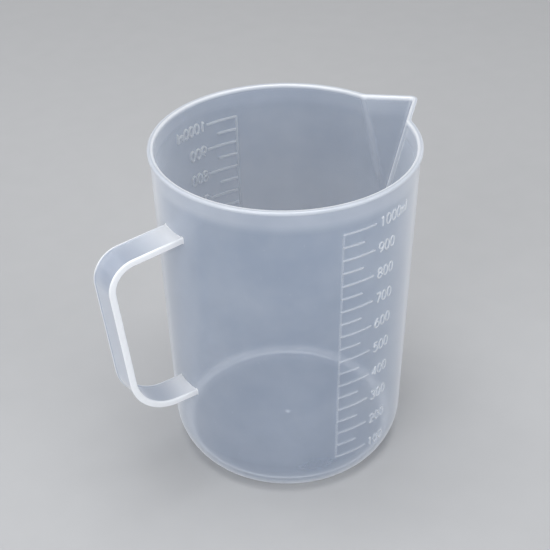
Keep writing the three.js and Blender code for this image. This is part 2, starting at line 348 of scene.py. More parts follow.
def milky_material(name, thin, thick, haze, of_veil, of_milk, of_edge, of_line, roughness, glow):
    """Plastic whose haze is a base share plus shares of the veil, milk, slant and outline."""
    material = bpy.data.materials.new(name)
    material.use_nodes = True
    nodes, links = material.node_tree.nodes, material.node_tree.links
    nodes.clear()
    milk = attribute_share(nodes, "milk")
    veil = attribute_share(nodes, "veil")
    edge = slant_power(nodes, links, EDGE_POWER)
    outline = outline_share(nodes, links, veil)
    cloud = nodes.new("ShaderNodeGroup")
    cloud.node_tree = moulded_cloud
    cloud.inputs["Thin Tint"].default_value = (*thin, 1)
    cloud.inputs["Thick Tint"].default_value = (*thick, 1)
    cloud.inputs["Roughness"].default_value = roughness
    links.new(milk, cloud.inputs["Milk"])

    body = glossy_plastic(nodes, roughness)
    links.new(cloud.outputs["Color"], body.inputs["Base Color"])
    links.new(cloud.outputs["Roughness"], body.inputs["Roughness"])
    links.new(cloud.outputs["Normal"], body.inputs["Normal"])
    through = nodes.new("ShaderNodeBsdfTranslucent")
    links.new(cloud.outputs["Color"], through.inputs["Color"])
    scatter = mixed(nodes, links, glow, body.outputs[0], through.outputs[0])

    white = glossy_plastic(nodes, roughness)
    white.inputs["Base Color"].default_value = (*thick, 1)
    white_through = nodes.new("ShaderNodeBsdfTranslucent")
    white_through.inputs["Color"].default_value = (*thick, 1)
    sheen = mixed(nodes, links, glow, white.outputs[0], white_through.outputs[0])
    sheen_share = weighted_sum(nodes, links, 0, ((edge, EDGE_WHITE), (outline, LINE_WHITE)))
    plastic = mixed(nodes, links, sheen_share, scatter, sheen)

    total = weighted_sum(nodes, links, haze, (
        (cloud.outputs["Cloud"], CLOUD_HAZE), (veil, of_veil), (milk, of_milk),
        (edge, of_edge), (outline, of_line)))
    clear = nodes.new("ShaderNodeBsdfTransparent")
    out = nodes.new("ShaderNodeOutputMaterial")
    links.new(mixed(nodes, links, total, clear.outputs[0], plastic), out.inputs["Surface"])
    return material


clear_plastic = milky_material(
    "clear_plastic", thin=(0.265, 0.335, 0.455), thick=(0.9, 0.92, 0.95), haze=0.1, of_veil=0.43,
    of_milk=0.85, of_edge=0.35, of_line=0.6, roughness=0.2, glow=0.45)
milky_plastic = milky_material(
    "milky_plastic", thin=(0.25, 0.32, 0.45), thick=(0.86, 0.88, 0.91), haze=0.5, of_veil=0,
    of_milk=0.5, of_edge=0.3, of_line=0.7, roughness=0.2, glow=0.3)
raised_marks = milky_material(
    "raised_marks", thin=(0.88, 0.92, 0.96), thick=(0.95, 0.97, 0.99), haze=0.02, of_veil=0,
    of_milk=0.9, of_edge=0.3, of_line=0, roughness=0.25, glow=0.3)
print("materials:", [m.name for m in (clear_plastic, milky_plastic, raised_marks)])

# %% [markdown]
# ## The cup
#
# On the real jug the floor, the wall, the spout and the bead are one skin, so here they are one
# closed surface as well. Parts that only touch would show their inner faces through the plastic.
# The rows of the grid follow the section of the cup, from the middle of the underside, over the
# rim and back down to the middle of the floor. The columns go round. Near the spout they follow
# its nose and its two creases, so that the sharp lines of the V fall on edges of the mesh.

# %% Sizes of the cup
CUP_HEIGHT = 142.9
MOUTH_RADIUS = 54
BASE_RADIUS = 49.95
WALL = 1.6
FLOOR = 2.2
BASE_CURVE = 24.4
CURVE_HEIGHT = 16
FOOT_WIDTH = 4
FOOT_RECESS = 0.8
FOOT_EDGE = 0.6            # rounding of the foot's outer edge
FLOOR_FILLET = 3           # rounding between the floor and the inside curve
RIM_HEIGHT = 1.5
RIM_PROUD = 0.85
RIM_ROUND = 0.7
RIM_UNDERCUT = 0.4         # height of the soft step under the bead
GATE_RADIUS = 1.5          # of the mark that the moulding's gate leaves
GATE_RISE = 0.6
SPOUT_DEPTH = 45

# Shares of milk: 0 is the bare wall and 1 is white. Some of them also carry painted light, as marked.
# The wall's whitening upwards is painted light from above; the whiter neck under the bead is partly
# thicker plastic and partly painted light.
WALL_MILK_AND_LIGHT = 0.06
NECK_MILK_AND_LIGHT = 0.26
NECK_DEPTH = 9
BEAD_MILK = 0.42
OUTER_EDGE_HIGHLIGHT = 0.15     # painted highlight added along the bead's rounded edges
INNER_EDGE_HIGHLIGHT = 0.58
HIGHLIGHT_SPREAD = 0.7
FLOOR_MILK = 0.26
GATE_MILK = 1
RING_MILK = 1
RING_OUT = 1.9             # the ring's middle, out from the flat floor
RING_WIDTH = 1.9
# a painted bright line along the foot's edge, standing in for light carried through the plastic
FOOT_LINE_LIGHT = 1
FOOT_LIGHT_WIDTH = 2
UPWARD_LIGHT_POWER = 1.5         # how late the painted light from above whitens the wall on its way up
SHARP_POWER = 4            # falls off with a sharper edge than a bell curve, whose power is 2

# Shares of the outer skin's veil, which is stronger towards the rim
UNDER_VEIL = 0.2
FOOT_VEIL = 0.75
RIM_VEIL = 1.4

TAPER = (MOUTH_RADIUS - BASE_RADIUS) / CUP_HEIGHT
SLANT = math.hypot(1, TAPER)
WALL_ANGLE = -math.atan(TAPER)
FLOOR_TOP = FOOT_RECESS + FLOOR
RIM_BOTTOM = CUP_HEIGHT - RIM_HEIGHT
keel_foot = CUP_HEIGHT - SPOUT_DEPTH
INNER_CURVE = BASE_CURVE - WALL


def outer_radius(z):
    """Outside of the drafted wall at a height."""
    return BASE_RADIUS + TAPER * z


def touching_arc(radius, level):
    """Radius and angle at which an arc that stands on a level touches the base curve from inside."""
    drop = CURVE_HEIGHT - level
    run = math.sqrt(radius ** 2 - drop ** 2)
    return curve_radius + run, math.atan2(-drop, run)


curve_radius = outer_radius(CURVE_HEIGHT) - BASE_CURVE * SLANT
foot_radius, foot_angle = touching_arc(BASE_CURVE - FOOT_EDGE, FOOT_EDGE)
floor_radius, floor_angle = touching_arc(INNER_CURVE - FLOOR_FILLET, FLOOR_TOP + FLOOR_FILLET)
print("the foot is flat to", round(foot_radius, 2), "and the floor to", round(floor_radius, 2))

# %% Section of the cup, as heights and distances from the wall's outer line
AXIS_GAP = 0.2             # radius of the rows nearest to the axis
FLAT_END = 4               # radius at which the floor's plain rows end
GATE_REACH = 3.6           # and at which the rows of the gate's mark begin
UNDER_ROWS = 12
RAMP_ROWS = 9
FOOT_ROWS = 4
FOOT_EDGE_ROWS = 7
CURVE_ROWS = 30
FILLET_ROWS = 13
FLAT_ROWS = 16
GATE_ROWS = 14
KEEL_BELOW = 2             # the close rows begin this far below the keel's foot
KEEL_ABOVE = 6             # and end this far above it
LOWER_GAP = 1              # between the rows below and the close rows
UPPER_GAP = 1.5            # between the close rows and the rows above
BEAD_GAP = 0.5
LOWER_ROWS = 32
KEEL_ROWS = 17
UPPER_ROWS = 26
STEP_ROWS = 7
TOP_ROWS = 6
BEAD_ROUND_ROWS = 9


def base_rows():
    """Underside, foot ring and outer curve, as (radius, height) rows that begin near the axis."""
    foot_inside = foot_radius - FOOT_WIDTH
    ramp_start = foot_inside - FOOT_RECESS
    under = np.linspace(AXIS_GAP, ramp_start, UNDER_ROWS)
    ramp = np.linspace(ramp_start, foot_inside, RAMP_ROWS)[1:]
    ramp_height = FOOT_RECESS * (1 - smooth_step(ramp_start, foot_inside, ramp))
    ring = np.linspace(foot_inside, foot_radius, FOOT_ROWS)[1:-1]
    return np.concatenate((
        np.stack((under, np.full_like(under, FOOT_RECESS)), axis=-1),
        np.stack((ramp, ramp_height), axis=-1),
        np.stack((ring, np.zeros_like(ring)), axis=-1),
        arc_points(foot_radius, FOOT_EDGE, FOOT_EDGE, -math.pi / 2, foot_angle, FOOT_EDGE_ROWS)[:-1],
        arc_points(curve_radius, CURVE_HEIGHT, BASE_CURVE, foot_angle, WALL_ANGLE, CURVE_ROWS),
    ))


def floor_rows():
    """Inside curve, its fillet and the floor with the gate's mark, as (radius, height) rows."""
    flat = np.linspace(floor_radius, FLAT_END, FLAT_ROWS)[1:]
    gate = np.linspace(GATE_REACH, AXIS_GAP, GATE_ROWS)
    gate_height = FLOOR_TOP + GATE_RISE * np.exp(-(gate / GATE_RADIUS) ** 2)
    fillet_height = FLOOR_TOP + FLOOR_FILLET
    return np.concatenate((
        arc_points(curve_radius, CURVE_HEIGHT, INNER_CURVE, WALL_ANGLE, floor_angle, CURVE_ROWS)[:-1],
        arc_points(floor_radius, fillet_height, FLOOR_FILLET, floor_angle, -math.pi / 2, FILLET_ROWS),
        np.stack((flat, np.full_like(flat, FLOOR_TOP)), axis=-1),
        np.stack((gate, gate_height), axis=-1),
    ))


def wall_heights():
    """Rows up the wall, closer together where the keel of the spout leaves it."""
    return np.concatenate((
        np.linspace(CURVE_HEIGHT, keel_foot - KEEL_BELOW - LOWER_GAP, LOWER_ROWS),
        np.linspace(keel_foot - KEEL_BELOW, keel_foot + KEEL_ABOVE, KEEL_ROWS),
        np.linspace(keel_foot + KEEL_ABOVE + UPPER_GAP, RIM_BOTTOM - BEAD_GAP, UPPER_ROWS),
    ))


def bead_rows():
    """The bead as (offset, height): a soft step out of the wall, then two rounded upper edges."""
    step = np.linspace(RIM_BOTTOM - RIM_UNDERCUT / 2, RIM_BOTTOM + RIM_UNDERCUT / 2, STEP_ROWS)
    step_out = RIM_PROUD * smooth_step(step[0], step[-1], step)
    shoulder = CUP_HEIGHT - RIM_ROUND
    flat = np.linspace(RIM_PROUD - RIM_ROUND, RIM_ROUND - WALL, TOP_ROWS)[1:-1]
    return np.concatenate((
        np.stack((step_out, step), axis=-1),
        arc_points(RIM_PROUD - RIM_ROUND, shoulder, RIM_ROUND, 0, math.pi / 2, BEAD_ROUND_ROWS),
        np.stack((flat, np.full_like(flat, CUP_HEIGHT)), axis=-1),
        arc_points(RIM_ROUND - WALL, shoulder, RIM_ROUND, math.pi / 2, math.pi, BEAD_ROUND_ROWS),
    ))


def base_milk(rows):
    """A painted bright line along the foot's edge, standing in for light carried through the plastic
    to it.
    """
    return FOOT_LINE_LIGHT * np.exp(-((rows[:, 0] - foot_radius) / FOOT_LIGHT_WIDTH) ** 2)


def bead_milk(rows):
    """White, with painted highlights along the two rounded edges, clearer on the flat top and fading
    down the outer face.
    """
    face = smooth_step(RIM_BOTTOM - RIM_UNDERCUT, CUP_HEIGHT - RIM_ROUND, rows[:, 1])
    middle = (RIM_PROUD - WALL) / 2
    outer = np.exp(-((rows[:, 0] - RIM_PROUD + RIM_ROUND / 2) / HIGHLIGHT_SPREAD) ** 2)
    inner = np.exp(-((rows[:, 0] + WALL - RIM_ROUND / 2) / HIGHLIGHT_SPREAD) ** 2)
    # painted highlights along the bead's two rounded edges, the inner one brighter
    edge_highlights = np.where(rows[:, 0] > middle, OUTER_EDGE_HIGHLIGHT * outer, INNER_EDGE_HIGHLIGHT * inner)
    return NECK_MILK_AND_LIGHT + face * (BEAD_MILK - NECK_MILK_AND_LIGHT + edge_highlights)


def wall_milk(z):
    """A painted light from above that whitens the wall upwards, and a whiter neck under the bead,
    partly thicker plastic and partly painted light.
    """
    neck = smooth_step(RIM_BOTTOM - NECK_DEPTH, RIM_BOTTOM - NECK_DEPTH / 2, z)
    return WALL_MILK_AND_LIGHT * (z / CUP_HEIGHT) ** UPWARD_LIGHT_POWER + (NECK_MILK_AND_LIGHT - WALL_MILK_AND_LIGHT) * neck


def floor_milk(rows):
    """A veil on the floor, white at the gate's mark and in a ring where it turns up into the wall."""
    gate = GATE_MILK * np.exp(-(rows[:, 0] / GATE_RADIUS) ** SHARP_POWER)
    ring = np.exp(-((rows[:, 0] - floor_radius - RING_OUT) / RING_WIDTH) ** SHARP_POWER)
    flat = FLOOR_MILK * smooth_step(floor_radius + 2 * RING_WIDTH, floor_radius, rows[:, 0])
    return np.maximum(np.maximum(RING_MILK * ring, gate), flat)


def cup_section():
    """Rows of the cup's skin as arrays of height, offset from the wall's outer line, milk and veil."""
    base = base_rows()
    floor = floor_rows()
    bead = bead_rows()
    wall = wall_heights()
    inside = wall[::-1]
    height = np.concatenate((base[:, 1], wall, bead[:, 1], inside, floor[:, 1]))
    offset = np.concatenate((
        base[:, 0] - outer_radius(base[:, 1]), np.zeros_like(wall), bead[:, 0],
        np.full_like(inside, -WALL), floor[:, 0] - outer_radius(floor[:, 1])))
    milk = np.concatenate((
        base_milk(base), wall_milk(wall), bead_milk(bead), wall_milk(inside), floor_milk(floor)))
    outwards = smooth_step(foot_radius - FOOT_WIDTH, foot_radius, base[:, 0])
    upwards = smooth_step(0, CUP_HEIGHT, wall)
    veil = np.concatenate((
        UNDER_VEIL + (FOOT_VEIL - UNDER_VEIL) * outwards,
        FOOT_VEIL + (RIM_VEIL - FOOT_VEIL) * upwards,
        smooth_step(-WALL, RIM_PROUD, bead[:, 0]),
        np.zeros(len(inside) + len(floor)),
    ))
    return height, offset, milk, veil


section_height, section_offset, section_milk, section_veil = cup_section()
print("rows in the section:", len(section_height))

# %% [markdown]
# ## The spout
#
# Seen from above, the spout is a V with flat sides and a small round nose. Its keel leans out of
# the wall, so lower down the same V has moved inwards, until it is swallowed by the round wall.
# At each height the outline is simply the greater of two distances from the axis, that of the
# circle and that of the V, blended over a millimetre or two where they cross.

# %% Outline of the cup with its spout
SPOUT_REACH = 13.7
SPOUT_WIDTH = 31
SPOUT_NOSE = 1.2
SPOUT_PROUD = 0.4          # share of the bead's overhang that is left along the spout
CREASE_BLEND = 0.7         # depth of the rounding where the V crosses the wall
RIM_CREASE_BLEND = 1       # the same, at the rim
CREASE_START = 2           # heights above the keel's foot at which the creases begin to whiten
CREASE_FULL = 12           # and are as white as they get
CREASE_WIDTH = 2.1         # of the thicker, whiter plastic inside a crease
FRONT_CREASE_MILK_AND_HIGHLIGHT = 0.95   # on the side of the front scale: thicker plastic and a painted highlight that makes it whiter than the rear one
REAR_CREASE_MILK = 0.42
NOSE_STEPS = 8
SIDE_STEPS = 18
ROUND_STEPS = 130
LEAST_NOSE = math.radians(0.9)
LEAST_SIDE = math.radians(0.9)
CROWDING = 0.55            # how strongly the columns crowd towards the spout
KEEL_MARGIN = SPOUT_DEPTH / 4   # how far below the keel's foot the V is still looked at

tip_radius = MOUTH_RADIUS + SPOUT_REACH
outer_nose = SPOUT_NOSE + WALL
keel_lean = (tip_radius - outer_radius(keel_foot)) / SPOUT_DEPTH
spout_back = tip_radius - outer_nose - math.sqrt(MOUTH_RADIUS ** 2 - (SPOUT_WIDTH / 2) ** 2)
half_angle = (math.atan2(SPOUT_WIDTH / 2, spout_back)
              - math.asin(outer_nose / math.hypot(SPOUT_WIDTH / 2, spout_back)))
side_normal = math.pi / 2 - half_angle


def nose_middle(z):
    """Distance from the axis to the middle of the V's round nose."""
    return tip_radius + keel_lean * (z - CUP_HEIGHT) - outer_nose


def spout_angles(z, offset):
    """Angles at which the nose passes into a flat side, and the side into the round wall."""
    middle = nose_middle(z)
    nose = outer_nose + offset
    radius = outer_radius(z) + offset
    nose_end = np.arctan2(nose * math.sin(side_normal), middle + nose * math.cos(side_normal))
    side_distance = middle * math.sin(half_angle) + nose
    crossing = side_normal - np.arccos(np.clip(side_distance / radius, -1, 1))
    bare = np.arccos(np.clip((radius ** 2 + middle ** 2 - nose ** 2) / (2 * radius * middle), -1, 1))
    crossing = np.where(crossing > nose_end, crossing, bare)
    crossing = np.where(middle + nose > radius, crossing, 0)
    nose_end = np.maximum(np.minimum(nose_end, crossing), LEAST_NOSE)
    return nose_end, np.maximum(crossing, nose_end + LEAST_SIDE)


def spout_distance(angle, z, offset):
    """Distance from the axis to the V: an arc over the nose and a straight line along each side."""
    middle = nose_middle(z)
    nose = outer_nose + offset
    nose_end = np.arctan2(nose * math.sin(side_normal), middle + nose * math.cos(side_normal))
    arc = middle * np.cos(angle) + np.sqrt(np.maximum(nose ** 2 - (middle * np.sin(angle)) ** 2, 0))
    straight = (middle * math.sin(half_angle) + nose) / np.cos(np.minimum(angle - side_normal, 0))
    return np.where(angle < nose_end, arc, straight)


def blended_greater(a, b, depth):
    """The greater of two values, lifted by a parabola where they are within depth of each other."""
    near = np.clip(1 - np.abs(a - b) / depth, 0, 1)
    return np.maximum(a, b) + near ** 2 * depth / 4


def column_angles(z, offset):
    """Angles of the columns for each row, from the nose round one side to the handle."""
    nose_end, crossing = spout_angles(z, offset)
    nose = np.linspace(0, 1, NOSE_STEPS + 1)[:-1]
    side = 0.5 - 0.5 * np.cos(np.linspace(0, math.pi, SIDE_STEPS + 1)[:-1])
    turn = np.linspace(0, 1, ROUND_STEPS + 1)
    turn = (1 - CROWDING) * turn + CROWDING * turn ** 3
    return np.concatenate((
        nose_end[:, None] * nose,
        nose_end[:, None] + (crossing - nose_end)[:, None] * side,
        crossing[:, None] + (math.pi - crossing)[:, None] * turn,
    ), axis=1)


def cup_grid(height, offset):
    """Angle of each point, and its distance from the axis, for all rows and half the columns."""
    angle = column_angles(height, offset)
    z, out = height[:, None], offset[:, None]
    round_wall = outer_radius(z) + out
    rise = smooth_step(keel_foot, CUP_HEIGHT, z)
    blend = CREASE_BLEND + (RIM_CREASE_BLEND - CREASE_BLEND) * rise
    along_spout = np.where(out > 0, SPOUT_PROUD * out, out)
    with_spout = blended_greater(round_wall, spout_distance(angle, z, along_spout), blend)
    distance = np.where(z > keel_foot - KEEL_MARGIN, with_spout, round_wall)
    return angle, distance


def make_cup():
    """The whole skin: half the grid, its mirror image, and a point on the axis at either end."""
    angle, distance = cup_grid(section_height, section_offset)
    crossing = spout_angles(section_height, section_offset)[1][:, None]
    crease = np.exp(-((angle - crossing) * distance / CREASE_WIDTH) ** 2)
    up = smooth_step(keel_foot + CREASE_START, keel_foot + CREASE_FULL, section_height)
    crease = crease * up[:, None] * (1 - section_veil[:, None])
    rear_milk = np.maximum(section_milk[:, None], REAR_CREASE_MILK * crease)
    # the front crease is whiter than the rear one by a painted highlight
    front_milk_and_highlight = np.maximum(section_milk[:, None], FRONT_CREASE_MILK_AND_HIGHLIGHT * crease)
    around = np.concatenate((angle, -angle[:, -2:0:-1]), axis=1)
    reach = np.concatenate((distance, distance[:, -2:0:-1]), axis=1)
    milk = np.concatenate((rear_milk, front_milk_and_highlight[:, -2:0:-1]), axis=1)
    veil = np.repeat(section_veil, around.shape[1])
    level = np.broadcast_to(section_height[:, None], around.shape)
    grid = np.stack((reach * np.cos(around), reach * np.sin(around), level), axis=-1)
    part = closed_tube(grid)
    return make_piece(
        "cup", [part], clear_plastic,
        milk=np.concatenate((milk.ravel(), [0, GATE_MILK])),
        veil=np.concatenate((veil, [UNDER_VEIL, 0])))


cup = make_cup()
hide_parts("base", "cup_wall", "pouring_spout", "rim_bead")

# %% [markdown]
# ## The handle
#
# The handle is a strap bent round the fingers. Its section is a flat H: a thin web with a lip
# along both edges, which makes it stiff with little plastic. A section carried along a path is
# the natural way to make it. Its two arms run up to the curved wall, so each point of the section
# is run along the arm until it meets the wall, and the last millimetre flares into a fillet.

# %% Sizes of the handle
HANDLE_WIDTH = 13.3
HANDLE_THICKNESS = 2.9
HANDLE_TOP = 119.5
HANDLE_BOTTOM = 43.6
HANDLE_REACH = 85.8
UPPER_ARM_FALL = 4.65
GRIP_LEAN = 6.25
UPPER_BEND = 10.7
LOWER_BEND = 19.8
LIP_WIDTH = 0.8
LIP_RISE = 0.4
STRAP_EDGE = 0.5
LIP_EDGE = 0.25
ROOT_FILLET = 0.3
ROOT_SUNK = 0.4            # how far the handle's ends run into the wall
LIP_BLEND = 0.2            # how far the lips' white runs past their inner edge
CORNER_STEPS = 5


def rounded_outline(corners, radii, steps):
    """A closed outline with each corner rounded by its own radius, and the outward normals."""
    points, normals = [], []
    corners = np.asarray(corners, float)
    for i, radius in enumerate(radii):
        corner = corners[i]
        back = corners[i - 1] - corner
        ahead = corners[(i + 1) % len(corners)] - corner
        back, ahead = back / np.hypot(*back), ahead / np.hypot(*ahead)
        turn = math.pi - math.acos(float(np.clip(back @ ahead, -1, 1)))
        bend = np.sign(ahead[0] * back[1] - ahead[1] * back[0])
        middle = corner + (back + ahead) / np.hypot(*(back + ahead)) * radius / math.cos(turn / 2)
        first = math.atan2(back[0], -back[1])
        angle = first + bend * np.linspace(0, turn, steps)
        away = np.stack((np.cos(angle), np.sin(angle)), axis=-1)
        points.append(middle + bend * radius * away)
        normals.append(away)
    return np.concatenate(points), np.concatenate(normals)


def strap_section():
    """The flat H as points (across, out), with normals and milk: white lips and a clearer web."""
    side, face = HANDLE_WIDTH / 2, HANDLE_THICKNESS / 2
    lip = side - LIP_WIDTH
    quarter = [(side, face), (lip, face), (lip - LIP_RISE, face - LIP_RISE)]
    rounds = [STRAP_EDGE, LIP_EDGE, LIP_EDGE]
    upper = quarter + [(-across, out) for across, out in quarter[::-1]]
    corners = upper + [(-across, -out) for across, out in upper]
    points, normals = rounded_outline(corners, (rounds + rounds[::-1]) * 2, CORNER_STEPS)
    milk = smooth_step(lip - LIP_RISE, lip + LIP_BLEND, np.abs(points[:, 0]))
    return points, normals, milk


strap_points, strap_normals, strap_milk = strap_section()
print("points in the strap's section:", len(strap_points))

# %% Path of the handle
UPPER_BEND_STEPS = 22
LOWER_BEND_STEPS = 30


def unit(angle):
    """A direction in the handle's plane."""
    return np.array((math.cos(angle), math.sin(angle)))


def bend_stations(corner, arriving, leaving, radius, steps):
    """Points and headings round a corner of the path."""
    turn = math.atan2(math.sin(leaving - arriving), math.cos(leaving - arriving))
    run = radius * math.tan(abs(turn) / 2)
    side = arriving + math.copysign(math.pi / 2, turn)
    middle = corner - run * unit(arriving) + radius * unit(side)
    share = np.linspace(0, 1, steps)
    angle = side + math.pi + turn * share
    points = middle + radius * np.stack((np.cos(angle), np.sin(angle)), axis=-1)
    return points, arriving + turn * share


upper_fall = -math.radians(UPPER_ARM_FALL)
grip_heading = -math.pi / 2 - math.radians(GRIP_LEAN)
lower_heading = -math.pi
arm_length = HANDLE_REACH - outer_radius(HANDLE_TOP)
upper_corner = np.array((HANDLE_REACH, HANDLE_TOP + math.tan(upper_fall) * arm_length))
grip_run = math.tan(math.radians(GRIP_LEAN)) * (upper_corner[1] - HANDLE_BOTTOM)
lower_corner = np.array((HANDLE_REACH - grip_run, HANDLE_BOTTOM))
upper_bend = bend_stations(upper_corner, upper_fall, grip_heading, UPPER_BEND, UPPER_BEND_STEPS)
lower_bend = bend_stations(lower_corner, grip_heading, lower_heading, LOWER_BEND, LOWER_BEND_STEPS)
print("grip from height", round(upper_bend[0][-1][1], 1), "to", round(lower_bend[0][0][1], 1))

# %% Carry the strap's section along the path
ROOT_SHARES = (0, 0.004, 0.01, 0.018, 0.028, 0.042, 0.06, 0.09)   # of an arm's length, in its fillet
ARM_START = 0.14           # shares of its length between which an arm is plain
ARM_END = 0.95
ARM_STEPS = 9
GRIP_STEPS = 22
FLARE_ROUNDS = 3           # the fillet's flare and the run to the wall depend on each other,
MEETING_ROUNDS = 8         # and both settle after a few rounds
ROOT_LIGHT_REACH = 14             # how far the root's thicker, whiter plastic and a painted light over its shade reach along an arm
ROOT_POWER = 1.5


def ring_at(point, heading):
    """The strap's section set square to the path at a point."""
    across, out = strap_points[:, 0], strap_points[:, 1]
    reach = point[0] - out * math.sin(heading)
    return np.stack((-reach, -across, point[1] + out * math.cos(heading)), axis=-1)


def bend_rings(bend):
    """A ring at each station of a bend."""
    return [ring_at(point, heading) for point, heading in zip(*bend)]


def arm_rings(point, heading, towards_wall):
    """Rings from the wall to a bend. Each point runs straight, and flares near the wall."""
    share = np.concatenate((ROOT_SHARES, np.linspace(ARM_START, ARM_END, ARM_STEPS)))
    run = unit(heading) * towards_wall
    rings = []
    for step in share:
        flare = np.zeros(len(strap_points))
        for _ in range(FLARE_ROUNDS):
            spread = strap_points + strap_normals * flare[:, None]
            reach = point[0] - spread[:, 1] * math.sin(heading)
            height = point[1] + spread[:, 1] * math.cos(heading)
            length = np.full(len(reach), HANDLE_WIDTH)
            for _ in range(MEETING_ROUNDS):
                wall = outer_radius(height + run[1] * length) - ROOT_SUNK
                length = (np.sqrt(wall ** 2 - spread[:, 0] ** 2) - reach) / run[0]
            gap = np.clip(length * step - ROOT_SUNK, 0, ROOT_FILLET)
            flare = ROOT_FILLET - np.sqrt(ROOT_FILLET ** 2 - (ROOT_FILLET - gap) ** 2)
        along = length * (1 - step)
        x = -(reach + run[0] * along)
        rings.append(np.stack((x, -spread[:, 0], height + run[1] * along), axis=-1))
    return rings


def make_handle():
    """Upper arm, upper bend, grip, lower bend and lower arm as one tube."""
    upper = arm_rings(upper_bend[0][0], upper_fall, -1)
    lower = arm_rings(lower_bend[0][-1], lower_heading, 1)[::-1]
    top, bottom = upper_bend[0][-1], lower_bend[0][0]
    shares = np.linspace(0, 1, GRIP_STEPS)[1:-1]
    grip = [ring_at(top + (bottom - top) * share, grip_heading) for share in shares]
    grid = np.stack(upper + bend_rings(upper_bend) + grip + bend_rings(lower_bend) + lower)
    from_wall = np.hypot(grid[..., 0], grid[..., 1]) - outer_radius(grid[..., 2])
    # Whiter near the wall: partly thicker plastic, partly painted light that lifts the shade the wall
    # casts.
    root_milk_and_light = np.exp(-(np.maximum(from_wall, 0) / ROOT_LIGHT_REACH) ** ROOT_POWER)
    milk = np.concatenate((np.maximum(strap_milk, root_milk_and_light).ravel(), [1, 1]))
    return make_piece("handle", [closed_tube(grid)], milky_plastic, milk=milk, veil=np.ones(len(milk)))


handle = make_handle()
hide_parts("handle")

# %% [markdown]
# ## The raised scales
#
# Each scale is an upright line with a mark at every 50 ml, cut into the mould with a small round
# cutter, so its ribs have a rounded back and round ends. A rib is a half-round profile carried
# along a path on the wall. It reaches into the wall as well, because the plastic is thicker there
# and looks whiter from inside too. The level of each mark comes from the cup's own volume.

# %% Fill levels
SCALE_FIRST = 100
SCALE_LAST = 1000
SCALE_STEP = 50
LONG_EVERY = 100
CUBIC_MM_PER_ML = 1000
FILL_SAMPLES = 4000


def fill_heights(millilitres):
    """Heights for volumes: the cone's volume, less what its curve takes, read backwards."""
    bottom = outer_radius(FLOOR_TOP) - WALL
    drop = CURVE_HEIGHT - FLOOR_TOP
    run = math.sqrt(INNER_CURVE ** 2 - drop ** 2)
    sector = INNER_CURVE ** 2 * math.asin(drop / INNER_CURVE)
    curve_area = INNER_CURVE * drop - (drop * run + sector) / 2
    z = np.linspace(FLOOR_TOP, CUP_HEIGHT, FILL_SAMPLES)
    top = outer_radius(z) - WALL
    held = math.pi / 3 * (z - FLOOR_TOP) * (bottom ** 2 + bottom * top + top ** 2)
    held -= curve_area * 2 * math.pi * bottom
    return np.interp(np.asarray(millilitres, float) * CUBIC_MM_PER_ML, held, z)


scale_levels = np.arange(SCALE_FIRST, SCALE_LAST + 1, SCALE_STEP)
scale_heights = fill_heights(scale_levels)
for level, z in zip(scale_levels[[0, -1]], scale_heights[[0, -1]]):
    print(level, "ml at", round(float(z), 1), "mm")

# %% Strokes on the wall
MARK_SUNK = 0.7            # how deep a stroke reaches into the wall
RIB_STEPS = 9
RIB_POWER = 0.7            # below 1, so that a rib's back is fuller than a half ellipse
STROKE_STEPS = 18
TIP_STEPS = 5
LEAST_TIP = 0.06           # a stroke's tip keeps this share of its width


def on_wall(angle, z, out):
    """Points at an angle and a height, a little out from the wall."""
    radius = outer_radius(z) + out
    return np.stack((radius * np.cos(angle), radius * np.sin(angle), z), axis=-1)


def rib_profile(width, relief):
    """Half-round back on a flat foot, as (across, out)."""
    turn = np.linspace(0, math.pi, RIB_STEPS)
    back = np.stack((np.cos(turn) * width / 2, np.sin(turn) ** RIB_POWER * relief), axis=-1)
    foot = np.array(((-width / 2, -MARK_SUNK), (width / 2, -MARK_SUNK)))
    return np.concatenate((back, foot))


def stroke(path, angle, level, width, relief):
    """A rib along a path of (along, up) points on the wall, narrowed to a half circle at its ends."""
    run = np.concatenate(([0], np.cumsum(np.hypot(*np.diff(path, axis=0).T))))
    length, end = run[-1], width / 2
    tip = end * (1 - np.cos(np.linspace(0, math.pi / 2, TIP_STEPS)))
    between = np.linspace(end, length - end, STROKE_STEPS)[1:-1]
    at = np.concatenate((tip, between, length - tip[::-1]))
    middle = np.stack([np.interp(at, run, path[:, axis]) for axis in range(2)], axis=-1)
    ahead = np.gradient(middle, at, axis=0)
    ahead /= np.hypot(*ahead.T)[:, None]
    from_end = np.clip(np.minimum(at, length - at), 0, end)
    share = np.sqrt(1 - (1 - from_end / end) ** 2)[:, None]
    share = np.maximum(share, LEAST_TIP)
    profile = rib_profile(width, relief)
    across = profile[:, 0] * share
    out = np.where(profile[:, 1] > 0, profile[:, 1] * np.sqrt(share), profile[:, 1])
    along = middle[:, :1] - ahead[:, 1:] * across
    z = level + middle[:, 1:] + ahead[:, :1] * across
    return closed_tube(on_wall(angle + along / outer_radius(z), z, out))


# %% The two scales
FRONT_LADDER = -101.7      # degrees round the cup's axis, from the spout
LADDER_SPACING = 180
LONG_MARK = 15
SHORT_MARK = 9.5
MARK_WIDTH = 0.9
MARK_RELIEF = 0.4
MARK_MILK = 0.6            # share of the numerals' milk that the marks have
# The rear scale's greater shares are painted light: they stand in for light from behind that shows its
# marks pale through the wall.
FRONT_LINE = 0.4           # share of the marks' milk that the upright line has
REAR_LINE_AND_LIGHT = 0.75
FRONT_STRENGTH = 0.45      # shares of milk of the two scales; the rear share is raised by painted light
REAR_MILK_AND_LIGHT = 1
FAINTEST = 0.5             # share of its strength that the lowest mark has


